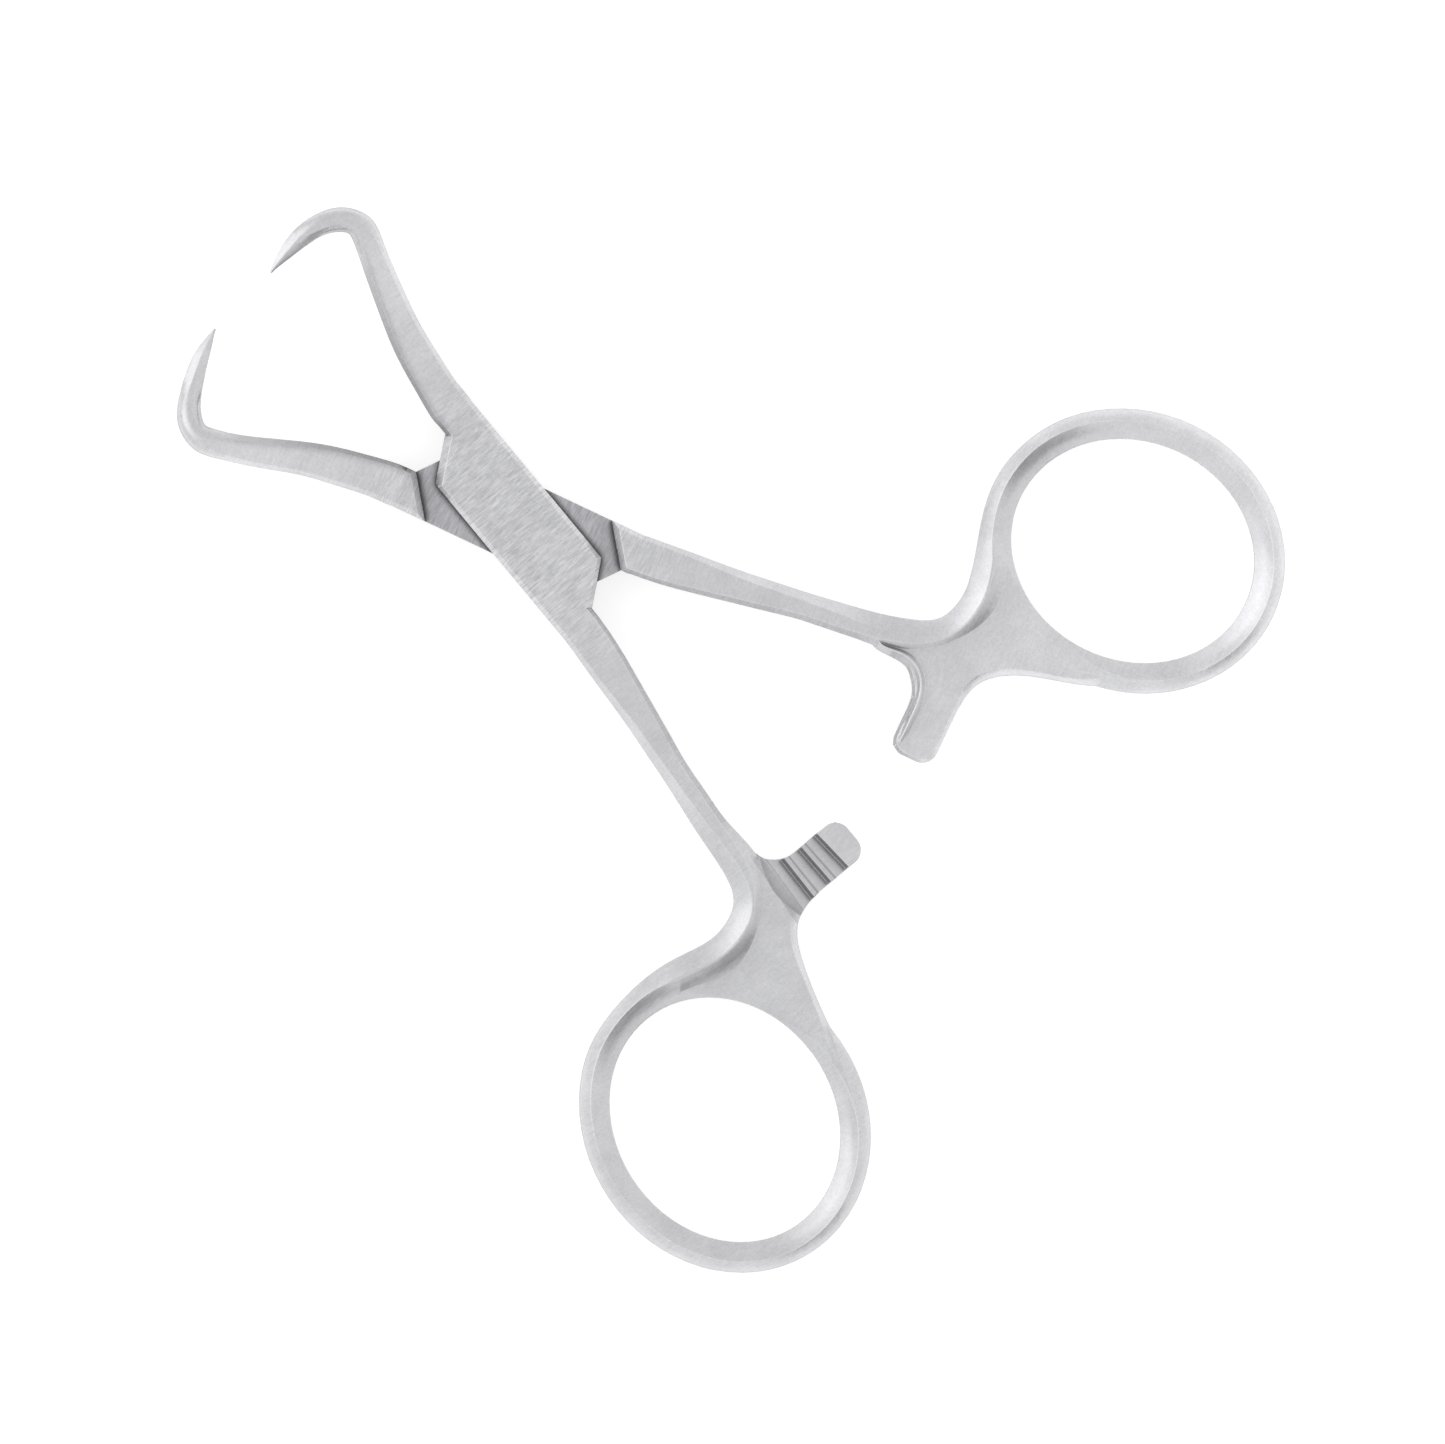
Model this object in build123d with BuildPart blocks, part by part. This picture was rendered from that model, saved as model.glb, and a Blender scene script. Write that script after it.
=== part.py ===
from build123d import *
import os
from math import cos, degrees, radians, sin, tan

# Towel forceps in millimetres, lying flat: two crossed halves on a box lock, with
# hooked points, a three-tooth ratchet and two finger rings.
# Origin on the pivot axis at the underside of the box, +X towards the points, +Z up.
# Each half is drawn along its own band, points towards +X and ring on the +Y side,
# then turned to its place, so one set of sizes makes both.

# Box lock
box_thickness = 4.4
band_width = 6.6
cheek_thickness = 1.2
tongue_play = 0.05
shoulder_bevel = 0.5
cheek_end_bevel = 0.6
lock_end_reach = 7.25
lock_end_angle = 51.0
shoulder_gap = 0.25
shoulder_angle = 54.5
slot_play = 0.2

# Pivot pin, riveted and ground flush with both cheeks
pin_diameter = 2.6
pin_play = 0.04

# Turn of the halves
rest_spread = 25.0

# Roots of the jaws and shanks, straight past the box
root_width = 3.35
root_run = 0.8

# Jaws
hook_reach = 29.12
jaw_neck_width = 2.2
jaw_neck_thickness = 1.95
hook_width = 1.42
hook_thickness = 1.0
point_diameter = 0.14
point_side_step = 0.62

# Shanks
shank_waist_width = 2.3
shank_end_width = 2.6
shank_end_thickness = 3.1
root_bevel = 0.35
shank_bevel = 0.75
elbow_flank = 1.5
bevel_depth_share = 0.6
round_bevel_share = 0.293

# Finger rings and their webs
ring_bar_width = 2.45
ring_bar_thickness = 3.0
ring_flank = 0.95
opening_wall = 1.4
opening_flare = 1.45
web_thickness = 2.4
web_bevel = 0.7
rim_bevel = 0.3
dish_depth = 0.55
dish_radius = 60.0
elbow_drop = 9.5
elbow_apron = 1.1

# Ratchet
arm_width = 3.8
arm_distance = 37.1
arm_corner = 1.3
tooth_count = 3
tooth_pitch = 1.78
tooth_height = 0.55
tooth_land = 0.4
tooth_lean = 0.28
first_tooth_offset = 0.97
ratchet_gap = 0.1
ratchet_scoop_radius = 7.0
ratchet_scoop_top = 3.3
bead_width = 1.0
bead_height = 0.3

# Female half: its jaw, its elbow, its finger ring and the reach of its ratchet arm
female_bend_x = 26.85
female_bow = 5.42
female_point_x = 28.52
female_point_y = 2.63
female_elbow = 36.2
female_lean = 0.0
female_ring_x = -48.4
female_ring_y = 18.28
female_opening_length = 20.86
female_opening_breadth = 17.92
female_ring_tilt = -6.1
female_arm_reach = 4.65

# Male half, ground by hand to a slightly different outline
male_bend_x = 26.4
male_bow = 4.96
male_point_x = 29.15
male_point_y = 3.62
male_elbow = 35.3
male_lean = 0.026
male_ring_x = -46.4
male_ring_y = 19.23
male_opening_length = 20.32
male_opening_breadth = 17.86
male_ring_tilt = 0.0
male_arm_reach = 3.9

# Places that follow from the sizes
middle = box_thickness / 2
half_band = band_width / 2
root_offset = half_band - root_width / 2
tongue_thickness = box_thickness - 2 * cheek_thickness - 2 * tongue_play
shoulder_reach = lock_end_reach + shoulder_gap
root_end = shoulder_reach / sin(radians(shoulder_angle)) + root_run
margin = 20.0
overlap = 0.01


def heading_at(stations, index, start):
    """Direction of travel at one station, from its neighbours' places; start turns the first one."""
    if index == 0 and start:
        return Vector(*start)
    before = stations[max(index - 1, 0)]
    after = stations[min(index + 1, len(stations) - 1)]
    return Vector(after[0] - before[0], after[1] - before[1], 0).normalized()


def bar_section(width, thickness, inner_bevel, outer_bevel, roundness=0.0, apron=0.0):
    """Eight-sided section of a forged bar, inner side at +X, each side bulged by roundness 0 to 1.

    A bevel goes as deep as it is wide, up to a share of the half thickness. An apron draws the
    foot of the inner bevels out by that much and hollows them, to run out into a web.
    """
    x, y = width / 2, thickness / 2
    inner_depth = min(inner_bevel, bevel_depth_share * y)
    outer_depth = min(outer_bevel, bevel_depth_share * y)
    corners = [
        (x + apron, -y + inner_depth),
        (x + apron, y - inner_depth),
        (x - inner_bevel, y),
        (-x + outer_bevel, y),
        (-x, y - outer_depth),
        (-x, -y + outer_depth),
        (-x + outer_bevel, -y),
        (x - inner_bevel, -y),
    ]
    for index, (start, end) in enumerate(zip(corners, corners[1:] + corners[:1])):
        hollow = min(apron, 1.0) * (1.0 + roundness) if index in (1, 7) else 0.0
        bulge = (roundness - hollow) * tan(radians(11.25)) / 2
        run = (end[0] - start[0], end[1] - start[1])
        centre = ((start[0] + end[0]) / 2, (start[1] + end[1]) / 2)
        if roundness == 0:
            Line(start, end)
        else:
            ThreePointArc(start, (centre[0] + run[1] * bulge, centre[1] - run[0] * bulge), end)


def bar(stations, start=None):
    """Smooth bar through stations of (x, y, lift, width, thickness, inner, outer bevel, roundness)."""
    with BuildPart() as piece:
        for index, (x, y, lift, *section) in enumerate(stations):
            heading = heading_at(stations, index, start)
            place = Plane(
                origin=(x, y, middle + lift),
                x_dir=(-heading.Y, heading.X, 0),
                z_dir=heading,
            )
            with BuildSketch(place):
                with BuildLine():
                    bar_section(*section)
                make_face()
        loft()
    return piece.part


def root_bar(side):
    """Straight root of a jaw (side +1) or a shank (side -1), from inside the box past its end."""
    length = root_end - half_band
    place = Plane(origin=(side * half_band, -side * root_offset, middle), x_dir=(0, side, 0), z_dir=(side, 0, 0))
    with BuildPart() as root:
        with BuildSketch(place):
            with BuildLine():
                bar_section(root_width, box_thickness, root_bevel, root_bevel)
            make_face()
        extrude(amount=length)
    return root.part


def round_bar(width, thickness):
    """Section sizes of a smooth oval stretch of a bar."""
    bevel = round_bevel_share * min(width, thickness)
    return width, thickness, bevel, bevel, 1.0


def ground_point(width, thickness):
    """Section sizes of the point, ground on two sides to a soft crest."""
    return width, thickness, 0.44 * width, 0.48 * width, 0.45


def hook_jaw(bend_x, bow, point_x, point_y, side_step):
    """Jaw from the box to its hooked point, which passes beside the other point when closed."""
    neck = jaw_neck_width
    thick = jaw_neck_thickness
    return bar([
        (root_end - overlap, -root_offset, 0, root_width, box_thickness, root_bevel, root_bevel),
        (bend_x - 14.6, -1.75, 0, root_width - 0.1, thick + 2.07, 0.37, 0.34),
        (bend_x - 12.3, -2.08, 0, root_width - 0.24, thick + 1.63, 0.4, 0.33),
        (bend_x - 9.95, -2.5, 0, root_width - 0.42, thick + 1.19, 0.44, 0.32),
        (bend_x - 7.0, -3.29, 0, neck + 0.42, thick + 0.72, 0.48, 0.32),
        (bend_x - 4.0, -4.24, 0, neck + 0.17, thick + 0.3, 0.48, 0.34, 0.1),
        (bend_x - 1.8, -bow / 2 - 2.3, 0, neck, thick + 0.05, 0.5, 0.42, 0.4),
        (bend_x, -bow, side_step * 0.1, neck - 0.15, thick - 0.1, 0.53, 0.53, 0.8),
        (bend_x + 1.1, -bow + 0.57, side_step * 0.35, *round_bar(neck - 0.3, thick - 0.2)),
        (bend_x + 1.9, -bow + 1.75, side_step * 0.7, *round_bar(hook_width + 0.38, hook_thickness + 0.5)),
        (bend_x + 2.3, -2.0, side_step, hook_width + 0.25, hook_thickness + 0.3, 0.52, 0.56, 0.75),
        (hook_reach, point_y / 2 - 1.6, side_step, *ground_point(hook_width, hook_thickness)),
        ((hook_reach + point_x) / 2 + 0.08, point_y - 1.55, side_step,
         *ground_point(hook_width * 0.63, hook_thickness * 0.62)),
        ((hook_reach + 3 * point_x) / 4 + 0.05, point_y - 0.7, side_step,
         *ground_point(hook_width * 0.33, hook_thickness * 0.36)),
        (point_x, point_y, side_step, *round_bar(point_diameter, point_diameter)),
    ], start=(1, 0))


def shank_and_ring(ring_x, ring_y, half_length, half_breadth, tilt, elbow, lean):
    """One bar from the box along the shank, round the elbow and on round the finger ring."""
    corner_y = ring_y - elbow_drop

    def along(distance, offset, *section):
        return (-distance, offset + lean * (distance - 8), 0, *section)

    def past(dx, dy, *section):
        return (-elbow + dx, corner_y + dy, 0, *section)

    def around(angle, width, thickness, inner, outer):
        offset = ring_bar_width - width / 2
        place = Vector(
            (half_length + offset) * cos(radians(angle)),
            (half_breadth + offset) * sin(radians(angle)),
        ).rotate(Axis.Z, tilt)
        return (ring_x + place.X, ring_y + place.Y, 0, width, thickness, inner, outer, 0.4)

    thick = box_thickness
    end = shank_end_thickness
    flank = elbow_flank
    apron = elbow_apron
    wide = ring_bar_width + 0.4
    ring_thick = ring_bar_thickness
    rim = [around(52 + 22 * step, wide, ring_thick, 0.3, ring_flank) for step in range(8)]
    return bar([
        along(root_end - overlap, root_offset, root_width, thick, root_bevel, root_bevel),
        along(root_end + 2.0, root_offset + 0.14, root_width - 0.03, thick - 0.16, 0.36, 0.37),
        along(root_end + 4.0, root_offset + 0.35, root_width - 0.15, thick - 0.32, 0.38, 0.42),
        along(root_end + 6.2, root_offset + 0.6, root_width - 0.4, thick - 0.5, 0.4, 0.5),
        along(18.5, 2.5, shank_waist_width + 0.4, thick - 0.7, 0.42, 0.6),
        along(21.2, 2.87, shank_waist_width + 0.2, thick - 0.85, 0.44, 0.68),
        along(24.0, 3.25, shank_waist_width, thick - 1.0, 0.45, shank_bevel),
        along(26.5, 3.52, shank_waist_width + 0.1, thick - 1.15, 0.47, shank_bevel + 0.15),
        along(29.0, 3.8, shank_end_width - 0.1, end, 0.5, flank - 0.4),
        past(2.06, -4.4, shank_end_width, end, 0.7, flank - 0.2, 0.3, apron * 0.45),
        past(-0.2, -3.07, shank_end_width, end, 0.9, flank, 0.4, apron * 0.9),
        past(-1.3, -0.77, shank_end_width, end, 0.9, flank, 0.4, apron),
        past(-1.4, 1.67, shank_end_width, end, 0.9, flank, 0.4, apron),
        past(-0.75, 4.55, shank_end_width, end, 0.9, flank - 0.15, 0.4, apron * 0.9),
        (*around(8, shank_end_width, end, 0.8, ring_flank + 0.2), apron * 0.5),
        around(30, wide - 0.1, ring_thick + 0.05, 0.5, ring_flank + 0.05),
        *rim,
        around(228, wide, ring_thick - 0.05, 0.3, ring_flank),
        around(246, wide, ring_thick - 0.25, 0.3, ring_flank),
        around(259, wide, web_thickness - 0.1, 0.3, ring_flank),
        around(271, wide - 0.2, web_thickness - 0.65, 0.3, 0.5),
        around(283, wide - 0.6, web_thickness - 1.1, 0.3, 0.3),
    ], start=(-1, 0))


def finger_opening(ring_x, ring_y, half_length, half_breadth, tilt):
    """Oval hole for a finger, widened towards both faces by a hollow slope up to the crest."""
    wall = opening_wall / 2
    top = ring_bar_thickness / 2
    flare = half_breadth + opening_flare
    knee = (half_breadth + 0.6 * opening_flare, wall + 0.43 * (top - wall))
    with BuildPart(Plane.XY) as hole:
        with BuildSketch(Plane.XZ):
            with BuildLine():
                Line((0, -margin), (flare, -margin))
                Line((flare, -margin), (flare, -top))
                ThreePointArc((flare, -top), (knee[0], -knee[1]), (half_breadth, -wall))
                Line((half_breadth, -wall), (half_breadth, wall))
                ThreePointArc((half_breadth, wall), knee, (flare, top))
                Line((flare, top), (flare, margin))
                Line((flare, margin), (0, margin))
                Line((0, margin), (0, -margin))
            make_face()
        revolve(axis=Axis.Z)
        scale(by=(half_length / half_breadth, 1, 1))
    return hole.part.rotate(Axis.Z, tilt).translate((ring_x, ring_y, middle))


def web_rail(ring_x, ring_y):
    """Soft edge of the web from the ratchet arm round to the ring, seen inside the two rings."""
    edge = arm_distance + arm_width / 2
    thick = web_thickness - 0.06
    soft = web_bevel
    return bar([
        (-edge + 1.1, ring_y - 17.6, 0, 2.2, thick - 0.1, soft - 0.4, 0.3, 0.2),
        (-edge + 0.75, ring_y - 15.4, 0, 2.3, thick, soft - 0.2, 0.3, 0.3),
        (-edge - 0.9, ring_y - 13.15, 0, 2.4, thick, soft, 0.3, 0.4),
        (-edge - 4.9, ring_y - 11.35, 0, 2.4, thick, soft, 0.3, 0.4),
        (-edge - 8.4, ring_y - 10.5, 0, 2.1, thick, soft, 0.3, 0.4),
        (ring_x - 2.8, ring_y - 10.0, 0, 1.6, thick - 0.35, soft, 0.3, 0.4),
        (ring_x - 5.2, ring_y - 9.5, 0, 0.9, thick - 1.1, 0.2, 0.2, 0.5),
    ])


def arm_bead(shift, arm_reach, arm_side):
    """Thin raised bead on the back of the ratchet arm, along its near edge and out into the shank."""
    near = -arm_distance + arm_width / 2 - bead_width / 2
    thick = web_thickness + 2 * bead_height
    inner, outer = 0.3 * bead_width, 0.6 * bead_width
    bead = bar([
        (near, -arm_reach + 0.4, 0, bead_width * 0.5, web_thickness - 0.4, 0.1, 0.1),
        (near, -arm_reach + 1.6, 0, bead_width, thick - 0.2, inner, outer),
        (near, -1.0, 0, bead_width, thick, inner, outer),
        (near + 0.1, 0.9, 0, bead_width, thick, inner, outer),
        (near + 0.95, 2.3 + shift, 0, bead_width, thick, inner, outer),
        (near + 3.0, 3.05 + shift, 0, bead_width, thick, inner, outer),
        (near + 5.4, 3.75 + shift, 0, bead_width, thick - 0.2, inner, outer),
    ])
    back = Keep.TOP if arm_side > 0 else Keep.BOTTOM
    return split(bead, bisect_by=Plane.XY.offset(middle), keep=back, mode=Mode.PRIVATE)


def web_and_arm(ring_x, ring_y, half_length, elbow, shift, arm_reach):
    """Dished web between shank, ring and arm, in one plate with the ratchet arm."""
    near = -arm_distance + arm_width / 2
    far = -arm_distance - arm_width / 2
    corner_y = ring_y - elbow_drop
    with BuildPart() as piece:
        with BuildSketch(Plane.XY.offset(middle)):
            with BuildLine():
                Line((near, -arm_reach + arm_corner), (near, 0.0))
                Spline(
                    (near, 0.0),
                    (near + 0.75, 1.8 + shift * 0.6),
                    (near + 2.6, 2.65 + shift),
                    tangents=[(0, 1), (1, 0)],
                )
                Polyline(
                    (near + 2.6, 2.65 + shift),
                    (near + 5.0, 3.3 + shift),
                    (-elbow + 1.6, corner_y - 4.4),
                    (-elbow - 0.4, corner_y - 3.3),
                    (-elbow - 1.5, corner_y - 0.8),
                    (-elbow - 1.6, corner_y + 1.7),
                    (-elbow - 1.05, corner_y + 4.5),
                    (ring_x + half_length + 0.7, ring_y),
                    (ring_x, ring_y),
                    (far - 9.5, ring_y - 10.3),
                    (far - 4.6, ring_y - 11.3),
                )
                Spline(
                    (far - 4.6, ring_y - 11.3),
                    (far - 0.6, ring_y - 13.4),
                    (far, 0.9),
                    tangents=[(0.95, -0.3), (0, -1)],
                )
                Line((far, 0.9), (far, -arm_reach + arm_corner))
                RadiusArc((far, -arm_reach + arm_corner), (far + arm_corner, -arm_reach), -arm_corner)
                Line((far + arm_corner, -arm_reach), (near - arm_corner, -arm_reach))
                RadiusArc((near - arm_corner, -arm_reach), (near, -arm_reach + arm_corner), -arm_corner)
            make_face()
        extrude(amount=web_thickness / 2, both=True)
        chamfer(piece.faces().filter_by(Axis.Z).edges(), rim_bevel)
        add(web_rail(ring_x, ring_y))
        lift = web_thickness / 2 - dish_depth + dish_radius
        with Locations((far - 3.5, corner_y + 2.2, middle + lift), (far - 3.5, corner_y + 2.2, middle - lift)):
            Sphere(dish_radius, mode=Mode.SUBTRACT)
    return piece.part


def ratchet_cut(arm_side):
    """Waste over the arm: the scooped half of its thickness and the hollow notch behind each tooth."""
    floor = middle + arm_side * ratchet_gap / 2
    radius = arm_distance
    pitch_angle = degrees(tooth_pitch / radius)
    first_angle = 180 - degrees(first_tooth_offset / radius)
    with BuildPart() as waste:
        with BuildSketch(Plane.XY.offset(floor)):
            with Locations((-arm_distance, ratchet_scoop_top - ratchet_scoop_radius)):
                Circle(ratchet_scoop_radius)
        extrude(amount=-arm_side * margin)
        deep = arm_side * tooth_height
        reach = tooth_pitch - tooth_land
        with BuildPart(mode=Mode.PRIVATE) as notch:
            with BuildSketch(Plane.YZ.offset(radius - arm_width)):
                with BuildLine():
                    Polyline((-reach, floor), (0, floor), (-tooth_lean, floor + deep), close=True)
                make_face()
            extrude(amount=2 * arm_width)
        with PolarLocations(0, tooth_count, first_angle, pitch_angle * (tooth_count - 1), endpoint=True):
            add(notch.part)
    return waste.part


def forged_half(
    bend_x, bow, point_x, point_y, side_step,
    ring_x, ring_y, opening_length, opening_breadth, tilt, elbow, lean, arm_reach, arm_side,
):
    """One half before its lock is cut: jaw, shank, ring, web and ratchet arm in one forging."""
    half_length = opening_length / 2
    half_breadth = opening_breadth / 2
    shift = lean * (arm_distance - 8) / 2
    with BuildPart() as half:
        add(root_bar(1))
        add(root_bar(-1))
        add(hook_jaw(bend_x, bow, point_x, point_y, side_step))
        add(shank_and_ring(ring_x, ring_y, half_length, half_breadth, tilt, elbow, lean))
        add(web_and_arm(ring_x, ring_y, half_length, elbow, shift, arm_reach))
        add(arm_bead(shift, arm_reach, arm_side))
        add(finger_opening(ring_x, ring_y, half_length, half_breadth, tilt), mode=Mode.SUBTRACT)
        add(ratchet_cut(arm_side), mode=Mode.SUBTRACT)
    return half.part


def half_plane(reach, edge_angle, side):
    """Plane across the band at a reach from the pivot; side +1 faces the points, -1 the rings."""
    turn = radians(90 - edge_angle)
    normal = (side * cos(turn), side * sin(turn), 0)
    return Plane(origin=(reach * normal[0], reach * normal[1], 0), z_dir=normal)


def between_shoulders(thickness, play=0.0):
    """Slab over the middle of the band, ended by the slanted shoulder planes of jaw and shank."""
    with BuildPart() as slab:
        with BuildSketch(Plane.XY.offset(middle)):
            Rectangle(2 * margin, 2 * margin)
        extrude(amount=thickness / 2, both=True)
        for side in (1, -1):
            wall = half_plane(shoulder_reach + play, 180 - shoulder_angle, side)
            split(bisect_by=wall, keep=Keep.BOTTOM)
    return slab.part


def lock_block(thickness, bevel=0.0, end_bevel=0.0):
    """Plate of the box: the band with both ends cut at the lock's slant and its rims bevelled.

    The end towards the points has a wider bevel of its own.
    """
    with BuildPart() as block:
        with BuildSketch(Plane.XY.offset(middle)):
            Rectangle(4 * lock_end_reach, band_width)
        extrude(amount=thickness / 2, both=True)
        for side in (1, -1):
            split(bisect_by=half_plane(lock_end_reach, lock_end_angle, side), keep=Keep.BOTTOM)
        if bevel:
            faces = block.faces().filter_by(Axis.Z)
            chamfer(faces.edges(), bevel)
        if end_bevel:
            end = half_plane(lock_end_reach - end_bevel, lock_end_angle, 1)
            for up in (1, -1):
                origin = (end.origin.X, end.origin.Y, middle + up * thickness / 2)
                slope = Plane(origin=origin, z_dir=(end.z_dir.X, end.z_dir.Y, up))
                split(bisect_by=slope, keep=Keep.BOTTOM)
        add(between_shoulders(thickness), mode=Mode.INTERSECT)
    return block.part


def pin_bore(diameter):
    """Bore on the pivot axis, right through the box."""
    with BuildPart() as bore:
        with Locations((0, 0, middle)):
            Cylinder(diameter / 2, 2 * box_thickness)
    return bore.part


def shoulder_edges(solid):
    """Top and bottom edges of the slanted shoulders."""
    chosen = []
    for edge in solid.edges():
        centre = edge.center()
        on_face = abs(abs(centre.Z - middle) - box_thickness / 2) < 0.01
        for side in (1, -1):
            normal = half_plane(shoulder_reach, 180 - shoulder_angle, side).z_dir
            if on_face and abs(centre.X * normal.X + centre.Y * normal.Y - shoulder_reach) < 0.01:
                chosen.append(edge)
    return chosen


with BuildPart() as female_half:
    add(forged_half(
        female_bend_x, female_bow, female_point_x, female_point_y, point_side_step,
        female_ring_x, female_ring_y, female_opening_length, female_opening_breadth,
        female_ring_tilt, female_elbow, female_lean, female_arm_reach, arm_side=-1,
    ))
    add(lock_block(box_thickness, root_bevel, cheek_end_bevel))
    slot_thickness = box_thickness - 2 * cheek_thickness
    add(between_shoulders(slot_thickness, slot_play), mode=Mode.SUBTRACT)
    add(pin_bore(pin_diameter), mode=Mode.SUBTRACT)
female_half.part = female_half.part.rotate(Axis.Z, -rest_spread / 2)

with BuildPart() as male_half:
    add(forged_half(
        male_bend_x, male_bow, male_point_x, male_point_y, -point_side_step,
        male_ring_x, male_ring_y, male_opening_length, male_opening_breadth,
        male_ring_tilt, male_elbow, male_lean, male_arm_reach, arm_side=1,
    ))
    add(between_shoulders(4 * box_thickness), mode=Mode.SUBTRACT)
    chamfer(shoulder_edges(male_half), shoulder_bevel)
    add(lock_block(tongue_thickness))
    add(pin_bore(pin_diameter + 2 * pin_play), mode=Mode.SUBTRACT)
male_half.part = mirror(male_half.part, about=Plane.XZ).rotate(Axis.Z, rest_spread / 2)

with BuildPart() as pivot_pin:
    Cylinder(pin_diameter / 2, box_thickness, align=(Align.CENTER, Align.CENTER, Align.MIN))

os.makedirs("parts", exist_ok=True)
for piece, name in ((female_half, "female_half"), (male_half, "male_half"), (pivot_pin, "pivot_pin")):
    piece.part.label = name
    export_step(piece.part, f"parts/{name}.step")
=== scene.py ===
from math import cos, radians, sin

import bpy
from mathutils import Matrix, Vector


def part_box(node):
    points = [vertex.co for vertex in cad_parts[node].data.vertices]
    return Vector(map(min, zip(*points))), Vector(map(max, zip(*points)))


bl_info = {
    "name": "Towel forceps",
    "version": (1, 0, 0),
    "blender": (4, 5, 0),
    "location": "3D View > Sidebar > Forceps",
    "description": "Finishes a small towel forceps in satin stainless steel and lights it on a pale floor",
    "category": "Object",
}

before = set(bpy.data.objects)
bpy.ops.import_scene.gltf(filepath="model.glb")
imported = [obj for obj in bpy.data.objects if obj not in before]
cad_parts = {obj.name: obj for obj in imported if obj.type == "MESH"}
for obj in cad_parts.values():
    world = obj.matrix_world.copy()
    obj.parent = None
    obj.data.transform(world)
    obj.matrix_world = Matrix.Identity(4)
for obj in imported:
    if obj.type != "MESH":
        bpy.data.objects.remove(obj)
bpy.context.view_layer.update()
lock_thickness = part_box("pivot_pin")[1].z

mm = 0.001
# Where one finish, painted shade or painted light starts to change into the next and where the change is
# complete, in mm from the pin.
pin_rim = (1.6, 1.9)
lock_to_shank = (5.0, 16.0)
corners_of_lock = (9.5, 12.0)
lock_to_web = (24.0, 36.0)
facet_start = (8.6, 9.6)
facet_end = (23.5, 26.5)
neck_to_jaw = (12.0, 23.0)
jaw_to_hook = (24.0, 27.0)
shank_to_web = (-32.0, -42.0)
# The tongue shows up to this far from the pin, and below the cheeks' underside.
tongue_end = 9.3
cheek_underside = (3.3, 3.4)
# The ratchet lies between these distances from the pin and between these heights, in mm.
ratchet_reach = (33.5, 41.5)
ratchet_heights = (1.5, 9.0)
# The values of a noise texture lie almost all in this span.
noise = (0.3, 0.7)


def linear(hex_colour, alpha=1.0):
    """An sRGB hex colour, such as D0D1D6, as linear RGBA."""
    channels = [int(hex_colour[start : start + 2], 16) / 255 for start in (0, 2, 4)]
    return (*(c / 12.92 if c <= 0.04045 else ((c + 0.055) / 1.055) ** 2.4 for c in channels), alpha)


def add(tree, kind, inputs=None, **settings):
    """Add one node with its own settings, and a value or a link for each of its named inputs."""
    node = tree.nodes.new(kind)
    for name, value in settings.items():
        setattr(node, name, value)
    for key, value in (inputs or {}).items():
        if isinstance(value, bpy.types.NodeSocket):
            tree.links.new(value, node.inputs[key])
        else:
            node.inputs[key].default_value = value
    return node


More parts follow.
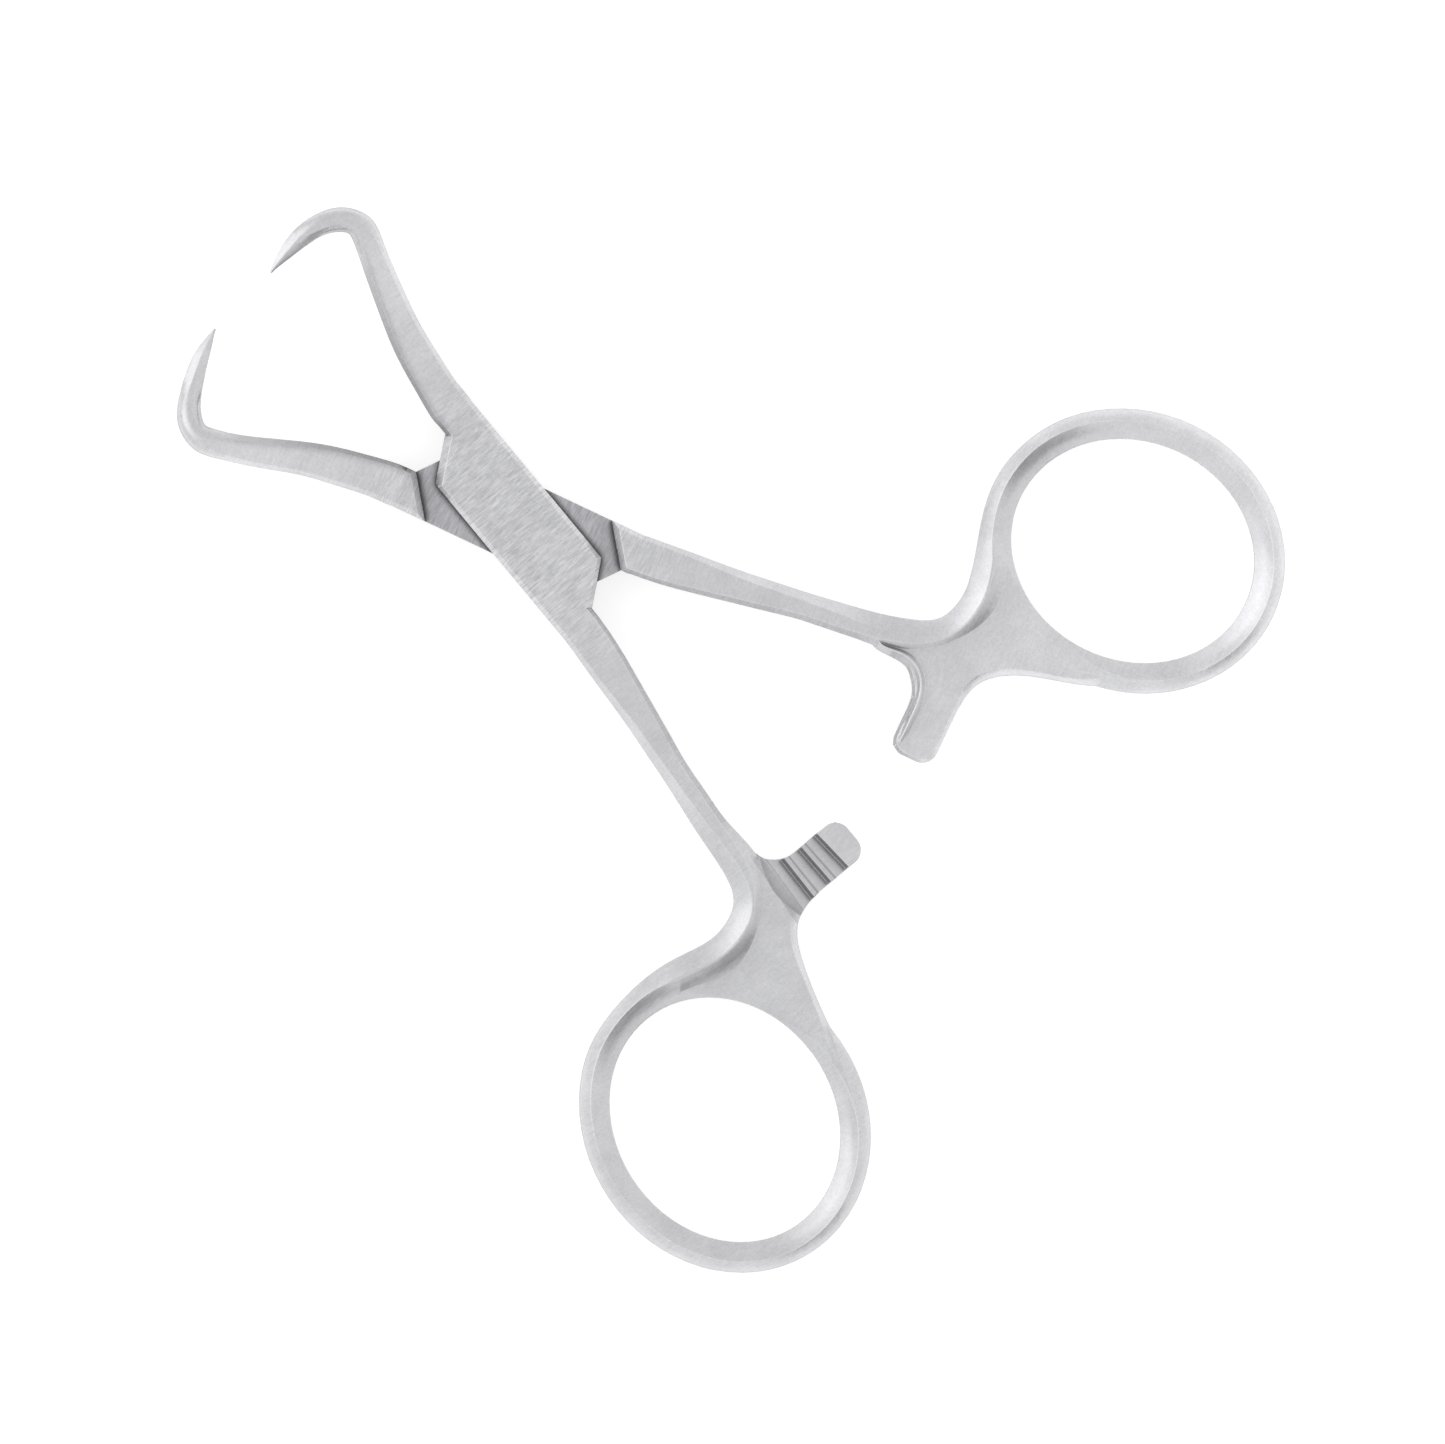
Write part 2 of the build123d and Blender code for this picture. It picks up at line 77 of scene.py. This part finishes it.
class ForcepsFinish(bpy.types.PropertyGroup):
    """Sizes and colours of the steel's finish."""

    steel: bpy.props.FloatVectorProperty(
        name="Steel", description="Colour of the satin stainless steel",
        subtype="COLOR", size=4, min=0, max=1, default=linear("D3D3D6"),
    )
    recess: bpy.props.FloatVectorProperty(
        name="Recess", description="Colour of the milled steel of the tongue",
        subtype="COLOR", size=4, min=0, max=1, default=linear("B8B8BC"),
    )
    # The edges are drawn lighter: wear from handling and a painted highlight.
    wear_and_highlight: bpy.props.FloatVectorProperty(
        name="Worn edge", description="Colour of the edges, polished by handling",
        subtype="COLOR", size=4, min=0, max=1, default=linear("E6E6E8"),
    )
    roughness: bpy.props.FloatProperty(
        name="Roughness", description="Roughness of the blasted surfaces",
        min=0.1, max=1, default=0.29,
    )
    streak: bpy.props.FloatProperty(
        name="Streak width", description="Width of one grinding streak across the box lock, mm",
        min=0.05, max=1, default=0.12,
    )
    streak_length: bpy.props.FloatProperty(
        name="Streak length", description="Length of one grinding streak, mm",
        min=0.2, max=10, default=1.2,
    )
    streak_height: bpy.props.FloatProperty(
        name="Streak height", description="How far a grinding streak runs down a side wall, mm",
        min=0.2, max=10, default=2.5,
    )
    grain: bpy.props.FloatProperty(
        name="Grain", description="Size of the dents that blasting leaves, mm",
        min=0.05, max=1, default=0.25,
    )
    dent: bpy.props.FloatProperty(
        name="Dent", description="Depth of the dents and of the grinding streaks, mm",
        min=0, max=0.1, default=0.01,
    )
    patch: bpy.props.FloatProperty(
        name="Patch", description="Size of the slightly lighter and darker patches, mm",
        min=0.5, max=20, default=3.33,
    )
    edge: bpy.props.FloatProperty(
        name="Edge", description="Radius of the broken edges of the lock, jaws and shanks, mm",
        min=0, max=1, default=0.1,
    )
    soft_edge: bpy.props.FloatProperty(
        name="Soft edge", description="Radius of the dressed edges of the webs and rings, mm",
        min=0, max=1, default=0.14,
    )
    # The facet is not in the shape: painted shade stands in for it.
    facet: bpy.props.FloatProperty(
        name="Facet", description="Reach of the dull facet along the inner side of each jaw, mm",
        min=0, max=2, default=0.9,
    )
    # Painted shade reaches this far from a tight corner.
    corner: bpy.props.FloatProperty(
        name="Corner", description="Reach of the dirt in a tight corner, mm", min=0.1, max=5, default=0.8,
    )
    hollow: bpy.props.FloatProperty(
        name="Hollow", description="Reach of the softer shade in a hollow, mm", min=0.1, max=10, default=2.5,
    )
    tooth_pitch: bpy.props.FloatProperty(
        name="Tooth pitch", description="Distance from one ratchet tooth to the next, mm",
        min=0.1, default=1.78,
    )
    last_foot: bpy.props.FloatProperty(
        name="Last foot", description="Place of the outermost tooth's foot across the half, mm",
        default=-2.59,
    )
    arm_distance: bpy.props.FloatProperty(
        name="Arm distance", description="Distance of the ratchet arm from the pin, mm",
        min=1, default=37.1,
    )
    turn: bpy.props.FloatProperty(
        name="Turn", description="How far each half lies turned from the middle line",
        subtype="ANGLE", default=radians(12.5),
    )


class ForcepsStudio(bpy.types.PropertyGroup):
    """Floor, lights and camera."""

    floor: bpy.props.FloatVectorProperty(
        name="Floor", description="Colour of the floor",
        subtype="COLOR", size=4, min=0, max=1, default=linear("B4B4B4"),
    )
    fibre: bpy.props.FloatProperty(
        name="Fibre", description="Length of the fibres of the floor's paper, mm", min=0.1, default=1.11,
    )
    glow: bpy.props.FloatProperty(
        name="Floor glow", description="Light that comes through the floor from below", min=0, default=0.75,
    )
    room: bpy.props.FloatProperty(
        name="Room", description="Brightness of the pale room all round", min=0, default=0.95,
    )
    hood: bpy.props.FloatProperty(
        name="Camera hood", description="Light that the camera takes away straight above",
        min=0, default=0.08,
    )
    softbox: bpy.props.FloatProperty(
        name="Softbox", description="Light that the softbox at the back on the left adds",
        min=0, default=0.52,
    )
    flag: bpy.props.FloatProperty(
        name="Flag", description="Light that the black flag at the front on the right takes away",
        min=0, default=0.55,
    )
    curtain: bpy.props.FloatProperty(
        name="Curtain", description="Light that the thin curtain at the back takes away",
        min=0, default=0.1,
    )
    heading: bpy.props.FloatProperty(
        name="Heading", description="How far the camera is turned about the vertical",
        subtype="ANGLE", default=radians(217.8),
    )
    field: bpy.props.FloatProperty(
        name="Field", description="Width that the camera sees", unit="LENGTH", min=0.01, default=0.11806,
    )
    aim: bpy.props.FloatVectorProperty(
        name="Aim", description="Point in the middle of the view", subtype="XYZ", unit="LENGTH",
        default=(-0.02322, 0.00276, lock_thickness / 2),
    )


def half_frame(tree, finish, side):
    """Places in the half's own frame in mm: X from the pin towards the point, Y across, Z up."""
    place = add(tree, "ShaderNodeTexCoord").outputs["Object"]
    own_place = add(tree, "ShaderNodeMapping", {
        "Vector": place, "Rotation": (0, 0, finish.turn), "Scale": (1 / mm, side / mm, 1 / mm),
    }).outputs[0]
    axes = add(tree, "ShaderNodeSeparateXYZ", {0: own_place}).outputs
    far = add(tree, "ShaderNodeMath", {0: axes["X"]}, operation="ABSOLUTE").outputs[0]
    return own_place, axes, far


def broken_edges(tree, own_place, far, finish):
    """The normal with every edge rounded off, and where such an edge is."""
    # The pin is ground flush with the cheeks, so no edge shows round it.
    flat_place = add(tree, "ShaderNodeVectorMath", {
        0: own_place, 1: (1, 1, 0),
    }, operation="MULTIPLY").outputs[0]
    from_pin = add(tree, "ShaderNodeVectorMath", {0: flat_place}, operation="LENGTH").outputs["Value"]
    past_pin = add(tree, "ShaderNodeMapRange", {
        0: from_pin, "From Min": pin_rim[0], "From Max": pin_rim[1],
    }).outputs[0]
    radius = add(tree, "ShaderNodeMapRange", {
        0: far, "From Min": lock_to_web[0], "From Max": lock_to_web[1],
        "To Min": finish.edge * mm, "To Max": finish.soft_edge * mm,
    }).outputs[0]
    radius = add(tree, "ShaderNodeMath", {0: radius, 1: past_pin}, operation="MULTIPLY").outputs[0]
    rounded = add(tree, "ShaderNodeBevel", {"Radius": radius}, samples=6).outputs[0]
    true_normal = add(tree, "ShaderNodeNewGeometry").outputs["Normal"]
    likeness = add(tree, "ShaderNodeVectorMath", {
        0: rounded, 1: true_normal,
    }, operation="DOT_PRODUCT").outputs["Value"]
    edge = add(tree, "ShaderNodeMapRange", {0: likeness, "From Min": 0.999, "From Max": 0.93}).outputs[0]
    return rounded, edge


def ratchet_painted_shade(tree, axes, far, finish):
    """Painted shade on the ratchet, and where it is.

    It is dark at each tooth's foot and rises to its land, with a dark line before the land.
    """
    # The feet run towards the pin, so the teeth are counted at the arm's distance from it.
    teeth = add(tree, "ShaderNodeMath", {0: axes["Y"], 1: far}, operation="DIVIDE").outputs[0]
    for value, step in (
        (finish.arm_distance, "MULTIPLY"), (finish.last_foot, "SUBTRACT"), (finish.tooth_pitch, "DIVIDE"),
    ):
        teeth = add(tree, "ShaderNodeMath", {0: teeth, 1: value}, operation=step).outputs[0]
    phase = add(tree, "ShaderNodeMath", {0: teeth}, operation="FRACT").outputs[0]
    # Parts of one pitch, from foot to foot.
    flank_end = 0.62
    shade_line = 0.76
    # Painted shade: dark at each foot, lighter up to the land, with a painted dark line before it.
    rise = add(tree, "ShaderNodeMapRange", {
        0: phase, "From Max": flank_end, "To Min": 0.66, "To Max": 0.88,
    }).outputs[0]
    off_line = add(tree, "ShaderNodeMath", {0: phase, 1: shade_line}, operation="SUBTRACT").outputs[0]
    off_line = add(tree, "ShaderNodeMath", {0: off_line}, operation="ABSOLUTE").outputs[0]
    line = add(tree, "ShaderNodeMapRange", {
        0: off_line, "From Min": 0.02, "From Max": 0.07, "To Min": 0.6, "To Max": 1.0,
    }).outputs[0]
    tooth_shade = add(tree, "ShaderNodeMath", {0: rise, 1: line}, operation="MULTIPLY").outputs[0]
    # Past the last tooth the scoop has only an even painted shade on its floor. Both ends are counted in
    # pitches.
    last_tooth = 2.75
    scoop_end = 3.3
    scoop_floor = 0.8
    cut = add(tree, "ShaderNodeMath", {0: teeth, 1: last_tooth}, operation="LESS_THAN").outputs[0]
    tooth_shade = add(tree, "ShaderNodeMix", {0: cut, 2: scoop_floor, 3: tooth_shade}, data_type="FLOAT").outputs[0]
    ratchet = add(tree, "ShaderNodeMath", {0: axes["X"], 1: 0.0}, operation="LESS_THAN").outputs[0]
    for value, (low, high) in (
        (teeth, (0.0, scoop_end)), (far, ratchet_reach), (axes["Z"], ratchet_heights),
    ):
        for limit, test in ((low, "GREATER_THAN"), (high, "LESS_THAN")):
            within = add(tree, "ShaderNodeMath", {0: value, 1: limit}, operation=test).outputs[0]
            ratchet = add(tree, "ShaderNodeMath", {0: ratchet, 1: within}, operation="MULTIPLY").outputs[0]
    return tooth_shade, ratchet


def painted_shade_in_corners(tree, axes, far, rounded, finish, side):
    """Painted shade in corners and hollows and on the steep flanks."""
    # Shade is painted into the corners: at the foot of a cheek, between the teeth and under the shoulders.
    tight = add(tree, "ShaderNodeAmbientOcclusion", {
        "Distance": finish.corner * mm,
    }, samples=8).outputs["AO"]
    darkest = add(tree, "ShaderNodeMapRange", {
        0: far, "From Min": corners_of_lock[0], "From Max": corners_of_lock[1],
        "To Min": 0.16, "To Max": 0.75,
    }).outputs[0]
    painted_shade = add(tree, "ShaderNodeMapRange", {
        0: tight, "From Min": 0.5, "From Max": 0.86, "To Min": darkest, "To Max": 1.0,
    }).outputs[0]
    wide = add(tree, "ShaderNodeAmbientOcclusion", {
        "Distance": finish.hollow * mm,
    }, samples=8, only_local=True).outputs["AO"]
    # Painted shade darkens the steep flanks, which leaves a thin line round each piece, as in the
    # photograph.
    upright = add(tree, "ShaderNodeSeparateXYZ", {0: rounded}).outputs["Z"]
    for value, low, high, least in ((wide, 0.6, 1.0, 0.62), (upright, 0.15, 0.66, 0.6)):
        more = add(tree, "ShaderNodeMapRange", {
            0: value, "From Min": low, "From Max": high, "To Min": least, "To Max": 1.0,
        }).outputs[0]
        painted_shade = add(tree, "ShaderNodeMath", {0: painted_shade, 1: more}, operation="MULTIPLY").outputs[0]
    if side > 0:
        tooth_shade, ratchet = ratchet_painted_shade(tree, axes, far, finish)
        # Most of the painted corner shade is left out of the ratchet, so that its teeth stay clear.
        left_out = 0.7
        thinned_painted_shade = add(tree, "ShaderNodeMix", {0: left_out, 2: painted_shade, 3: 1.0}, data_type="FLOAT").outputs[0]
        tooth_shade = add(tree, "ShaderNodeMath", {0: tooth_shade, 1: thinned_painted_shade}, operation="MULTIPLY").outputs[0]
        painted_shade = add(tree, "ShaderNodeMix", {0: ratchet, 2: painted_shade, 3: tooth_shade}, data_type="FLOAT").outputs[0]
    return painted_shade


def jaw_facet_shade(tree, axes, finish, side):
    """Painted shade on the jaws along their inner side, standing in for a narrow facet there."""
    eased = add(tree, "ShaderNodeBevel", {"Radius": finish.facet * mm}, samples=6).outputs[0]
    eased = add(tree, "ShaderNodeVectorTransform", {
        0: eased,
    }, vector_type="NORMAL", convert_from="WORLD", convert_to="OBJECT").outputs[0]
    inward = (sin(finish.turn), side * cos(finish.turn), 0.0)
    lean = add(tree, "ShaderNodeVectorMath", {0: eased, 1: inward}, operation="DOT_PRODUCT").outputs["Value"]
    facet_shade = add(tree, "ShaderNodeMapRange", {
        0: lean, "From Min": 0.1, "From Max": 0.2, "To Min": 0.0, "To Max": 0.3,
    }).outputs[0]
    for (start, end), first, last in ((facet_start, 0.0, 1.0), (facet_end, 1.0, 0.0)):
        on_jaw = add(tree, "ShaderNodeMapRange", {
            0: axes["X"], "From Min": start, "From Max": end, "To Min": first, "To Max": last,
        }).outputs[0]
        facet_shade = add(tree, "ShaderNodeMath", {0: facet_shade, 1: on_jaw}, operation="MULTIPLY").outputs[0]
    return add(tree, "ShaderNodeMath", {0: 1.0, 1: facet_shade}, operation="SUBTRACT").outputs[0]


def ground_steel(name, finish, side):
    """Satin stainless steel, ground across the lock and blasted elsewhere; side is -1 on the mirrored half.

    Grinding leaves short bright and dark streaks, blasting an even soft sheen, and handling
    brightens the edges, together with a painted highlight on them.
    """
    material = bpy.data.materials.new(name)
    material.use_nodes = True
    tree = material.node_tree
    tree.nodes.clear()
    own_place, axes, far = half_frame(tree, finish, side)
    rounded, edge = broken_edges(tree, own_place, far, finish)
    near_lock = add(tree, "ShaderNodeMapRange", {
        0: far, "From Min": lock_to_shank[0], "From Max": lock_to_shank[1], "To Min": 1.0, "To Max": 0.2,
    }, interpolation_type="SMOOTHSTEP").outputs[0]

    # A grit mark is about 0.05 mm wide; the streaks are drawn coarser, so that they show.
    stretched = add(tree, "ShaderNodeMapping", {
        "Vector": own_place,
        "Scale": (1 / finish.streak, 1 / finish.streak_length, 1 / finish.streak_height),
    }).outputs[0]
    streaks = add(tree, "ShaderNodeTexNoise", {
        "Vector": stretched, "Scale": 1.0, "Detail": 2.0, "Roughness": 0.6,
    }).outputs[0]
    # Blasting beads leave dents of about 0.1 mm; they are drawn coarser too.
    grain = add(tree, "ShaderNodeTexNoise", {
        "Vector": own_place, "Scale": 1 / finish.grain, "Detail": 2.0, "Roughness": 0.6,
    }).outputs[0]
    patches = add(tree, "ShaderNodeTexNoise", {
        "Vector": own_place, "Scale": 1 / finish.patch, "Detail": 3.0,
    }).outputs[0]

    colour = finish.steel
    if side < 0:
        # The tongue between the cheeks is drawn in a darker colour than the ground faces.
        low = add(tree, "ShaderNodeMapRange", {
            0: axes["Z"], "From Min": cheek_underside[0], "From Max": cheek_underside[1],
            "To Min": 1.0, "To Max": 0.0,
        }).outputs[0]
        in_lock = add(tree, "ShaderNodeMath", {0: far, 1: tongue_end}, operation="LESS_THAN").outputs[0]
        darkened = add(tree, "ShaderNodeMath", {0: low, 1: in_lock}, operation="MULTIPLY").outputs[0]
        colour = add(tree, "ShaderNodeMix", {
            0: darkened, 6: finish.steel, 7: finish.recess,
        }, data_type="RGBA").outputs[2]
    # The edges are mixed towards a lighter colour: wear from handling and a painted highlight.
    colour = add(tree, "ShaderNodeMix", {0: edge, 6: colour, 7: finish.wear_and_highlight}, data_type="RGBA").outputs[2]

    streak_shade = add(tree, "ShaderNodeMapRange", {
        0: streaks, "From Min": noise[0], "From Max": noise[1], "To Min": 0.8, "To Max": 1.17,
    }).outputs[0]
    shade = add(tree, "ShaderNodeMix", {
        0: near_lock, 2: 1.0, 3: streak_shade,
    }, data_type="FLOAT").outputs[0]
    shades = [painted_shade_in_corners(tree, axes, far, rounded, finish, side), jaw_facet_shade(tree, axes, finish, side)]
    for pattern in (patches, grain):
        shades.append(add(tree, "ShaderNodeMapRange", {
            0: pattern, "From Min": noise[0], "From Max": noise[1], "To Min": 0.95, "To Max": 1.05,
        }).outputs[0])
    # Painted light and shade along the half, as in the photograph: brighter jaws, darker hooks, and a
    # brighter web and ring on the mirrored half.
    web_and_ring = 1.08 if side < 0 else 0.99
    for (start, end), gain in ((neck_to_jaw, 1.09), (jaw_to_hook, 0.9), (shank_to_web, web_and_ring)):
        shades.append(add(tree, "ShaderNodeMapRange", {
            0: axes["X"], "From Min": start, "From Max": end, "To Min": 1.0, "To Max": gain,
        }, interpolation_type="SMOOTHSTEP").outputs[0])
    for more in shades:
        shade = add(tree, "ShaderNodeMath", {0: shade, 1: more}, operation="MULTIPLY").outputs[0]
    colour = add(tree, "ShaderNodeMix", {
        0: 1.0, 6: colour, 7: shade,
    }, data_type="RGBA", blend_type="MULTIPLY").outputs[2]

    roughness_swing = 0.05
    rough = add(tree, "ShaderNodeMapRange", {
        0: streaks, "From Min": noise[0], "From Max": noise[1],
        "To Min": finish.roughness - roughness_swing, "To Max": finish.roughness + roughness_swing,
    }).outputs[0]
    height = add(tree, "ShaderNodeMix", {0: near_lock, 2: grain, 3: streaks}, data_type="FLOAT").outputs[0]
    bump = add(tree, "ShaderNodeBump", {
        "Strength": 0.5, "Distance": finish.dent * mm, "Height": height, "Normal": rounded,
    }).outputs[0]
    steel = add(tree, "ShaderNodeBsdfPrincipled", {
        "Base Color": colour, "Metallic": 1.0, "Roughness": rough, "Normal": bump,
    }).outputs[0]
    add(tree, "ShaderNodeOutputMaterial", {"Surface": steel})
    return material


def matt_paper(studio):
    """Matt white paper, lit a little through from below; its fibres only vary how dull it is."""
    paint = bpy.data.materials.new("matt_white_paper")
    paint.use_nodes = True
    tree = paint.node_tree
    tree.nodes.clear()
    place = add(tree, "ShaderNodeTexCoord").outputs["Object"]
    fibres = add(tree, "ShaderNodeTexNoise", {
        "Vector": place, "Scale": 1 / (studio.fibre * mm), "Detail": 3.0,
    }).outputs[0]
    rough = add(tree, "ShaderNodeMapRange", {0: fibres, "To Min": 0.75, "To Max": 0.95}).outputs[0]
    sheet = add(tree, "ShaderNodeBsdfPrincipled", {
        "Base Color": studio.floor, "Roughness": rough, "Specular IOR Level": 0.1,
        "Emission Color": (1, 1, 1, 1), "Emission Strength": studio.glow,
    }).outputs[0]
    add(tree, "ShaderNodeOutputMaterial", {"Surface": sheet})
    return paint


def studio_room(studio, right, up, above):
    """An even pale room with a softbox, a black flag, a thin curtain and the hood of the camera."""
    room = bpy.data.worlds.new("studio_room")
    room.use_nodes = True
    tree = room.node_tree
    tree.nodes.clear()
    towards = add(tree, "ShaderNodeTexCoord").outputs["Generated"]
    brightness = studio.room
    # In degrees: the turn from the picture's right, the lean from straight above, and how far from its
    # middle each one is at its full strength and where it ends.
    for change, turn, lean, full, end in (
        (-studio.hood, 0, 0, 8, 30),
        (studio.softbox, 158, 47, 6, 32),
        (-studio.flag, 312, 63, 8, 30),
        (-studio.curtain, 85, 50, 10, 40),
    ):
        sideways = right * cos(radians(turn)) + up * sin(radians(turn))
        middle = above * cos(radians(lean)) + sideways * sin(radians(lean))
        nearness = add(tree, "ShaderNodeVectorMath", {
            0: towards, 1: middle,
        }, operation="DOT_PRODUCT").outputs["Value"]
        panel = add(tree, "ShaderNodeMapRange", {
            0: nearness, "From Min": cos(radians(end)), "From Max": cos(radians(full)),
            "To Min": 0.0, "To Max": change,
        }, interpolation_type="SMOOTHSTEP").outputs[0]
        brightness = add(tree, "ShaderNodeMath", {0: brightness, 1: panel}, operation="ADD").outputs[0]
    # The camera itself sees plain white behind the floor.
    seen = add(tree, "ShaderNodeLightPath").outputs["Is Camera Ray"]
    brightness = add(tree, "ShaderNodeMix", {0: seen, 2: brightness, 3: 1.0}, data_type="FLOAT").outputs[0]
    light = add(tree, "ShaderNodeBackground", {"Color": (1, 1, 1, 1), "Strength": brightness}).outputs[0]
    add(tree, "ShaderNodeOutputWorld", {"Surface": light})
    return room


class FORCEPS_OT_halves(bpy.types.Operator):
    """Finish the two forged halves in satin stainless steel"""

    bl_idname = "forceps.halves"
    bl_label = "Forged halves"

    def execute(self, context):
        finish = context.scene.forceps_finish
        # The male half lies mirrored, so its own frame is mirrored too.
        for name, side in (("female_half", 1), ("male_half", -1)):
            steel = ground_steel(f"{name}_satin_stainless_steel", finish, side)
            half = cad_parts[name]
            half.data.materials.clear()
            half.data.materials.append(steel)
        return {"FINISHED"}


class FORCEPS_OT_pin(bpy.types.Operator):
    """Finish the pivot pin, ground flush together with the cheeks"""

    bl_idname = "forceps.pin"
    bl_label = "Pivot pin"

    def execute(self, context):
        steel = ground_steel("pin_ground_stainless_steel", context.scene.forceps_finish, 1)
        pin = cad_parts["pivot_pin"]
        pin.data.materials.clear()
        pin.data.materials.append(steel)
        return {"FINISHED"}


class FORCEPS_OT_studio(bpy.types.Operator):
    """Set up the pale floor, the soft lights and the camera straight above"""

    bl_idname = "forceps.studio"
    bl_label = "Floor, lights and camera"

    def execute(self, context):
        scene = context.scene
        studio = scene.forceps_studio
        scene.view_settings.view_transform = "Standard"

        # The floor lies a hair lower than the lock, so that no two faces coincide.
        below_the_lock = -0.05 * mm
        bpy.ops.mesh.primitive_circle_add(
            vertices=64, radius=4.0, fill_type="NGON", location=(0, 0, below_the_lock),
        )
        floor = context.object
        floor.name = "floor"
        floor.data.materials.append(matt_paper(studio))

        right = Vector((cos(studio.heading), sin(studio.heading), 0.0))
        up = Vector((-sin(studio.heading), cos(studio.heading), 0.0))
        above = right.cross(up)
        scene.world = studio_room(studio, right, up, above)

        # A long lens from far off, because the photograph has hardly any perspective.
        data = bpy.data.cameras.new("camera")
        data.sensor_width = 36.0
        data.lens = 400.0
        data.clip_start = 0.01
        data.clip_end = 20.0
        distance = studio.field * data.lens / data.sensor_width
        camera = bpy.data.objects.new("camera", data)
        camera.matrix_world = (
            Matrix.Translation(Vector(studio.aim) + above * distance)
            @ Matrix((right, up, above)).transposed().to_4x4()
        )
        scene.collection.objects.link(camera)
        scene.camera = camera
        return {"FINISHED"}


class FORCEPS_PT_panel(bpy.types.Panel):
    """Lists the pieces and their values"""

    bl_idname = "FORCEPS_PT_panel"
    bl_label = "Towel forceps"
    bl_space_type = "VIEW_3D"
    bl_region_type = "UI"
    bl_category = "Forceps"

    def draw(self, context):
        for group in (context.scene.forceps_finish, context.scene.forceps_studio):
            box = self.layout.box()
            for name in group.__annotations__:
                box.prop(group, name)
        for operator in (FORCEPS_OT_halves, FORCEPS_OT_pin, FORCEPS_OT_studio):
            self.layout.operator(operator.bl_idname)


classes = (
    ForcepsFinish, ForcepsStudio, FORCEPS_OT_halves, FORCEPS_OT_pin, FORCEPS_OT_studio, FORCEPS_PT_panel,
)


def register():
    for each in classes:
        bpy.utils.register_class(each)
    bpy.types.Scene.forceps_finish = bpy.props.PointerProperty(type=ForcepsFinish)
    bpy.types.Scene.forceps_studio = bpy.props.PointerProperty(type=ForcepsStudio)


def unregister():
    del bpy.types.Scene.forceps_studio
    del bpy.types.Scene.forceps_finish
    for each in reversed(classes):
        bpy.utils.unregister_class(each)


def main():
    register()
    bpy.ops.forceps.halves()
    bpy.ops.forceps.pin()
    bpy.ops.forceps.studio()


if __name__ == "__main__":
    main()
